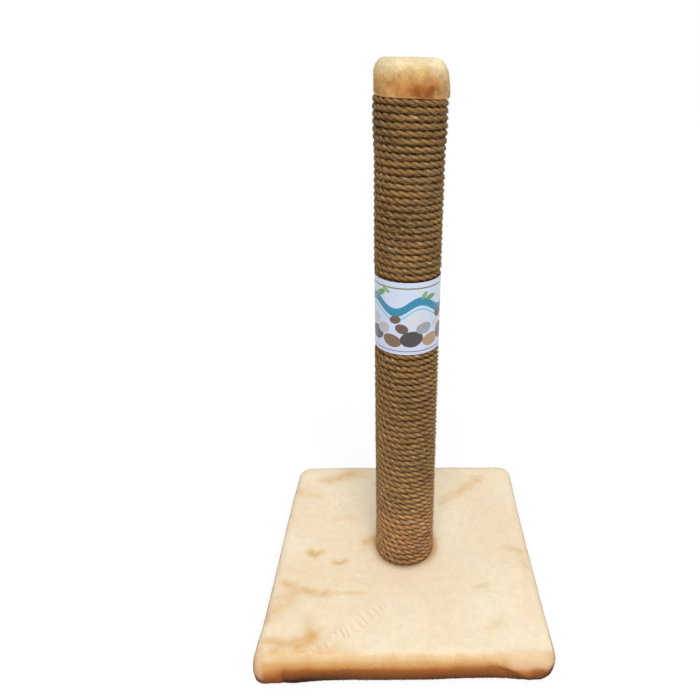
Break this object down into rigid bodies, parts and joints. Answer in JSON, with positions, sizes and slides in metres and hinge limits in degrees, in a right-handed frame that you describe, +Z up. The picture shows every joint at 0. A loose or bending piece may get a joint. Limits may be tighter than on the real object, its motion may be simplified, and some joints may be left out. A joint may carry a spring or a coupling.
{
  "type": "cat scratching post",
  "caption": "Free-standing cat scratching post: a rope-wound upright on a square plush-covered base, with a plush cap and a plain paper sleeve.",
  "frame": {"origin": "centre of the base's underside, on the surface that the post stands on", "axes": "+Z up along the post, -Y towards the front, +X to the right seen from the front"},
  "size_m": [0.35, 0.35, 0.6817],
  "materials": {
    "chipboard": "raw pressed chipboard",
    "foam": "open-cell foam sheet",
    "plush": "short-pile tan plush",
    "staple_steel": "drawn staple wire",
    "zinc_steel": "zinc-plated",
    "plug_wood": "raw softwood",
    "tube_card": "spiral-wound grey-brown card",
    "jute": "three-strand twisted jute",
    "label_paper": "coated printed paper"
  },
  "bodies": {
    "root": {"base_board": "chipboard", "base_padding": "foam", "base_cover": "plush", "base_staples": "staple_steel", "base_bolt": "zinc_steel", "base_washer": "zinc_steel", "pronged_nut": "zinc_steel", "lower_plug": "plug_wood", "lower_plug_nails": "zinc_steel", "post_tube": "tube_card", "upper_plug": "plug_wood", "upper_plug_nails": "zinc_steel", "rope_lower": "jute", "rope_middle": "jute", "rope_behind_label": "jute", "rope_upper": "jute", "label_sleeve": "label_paper", "cap_padding": "foam", "cap_cover": "plush", "cap_staples": "staple_steel"}
  },
  "joints": []
}
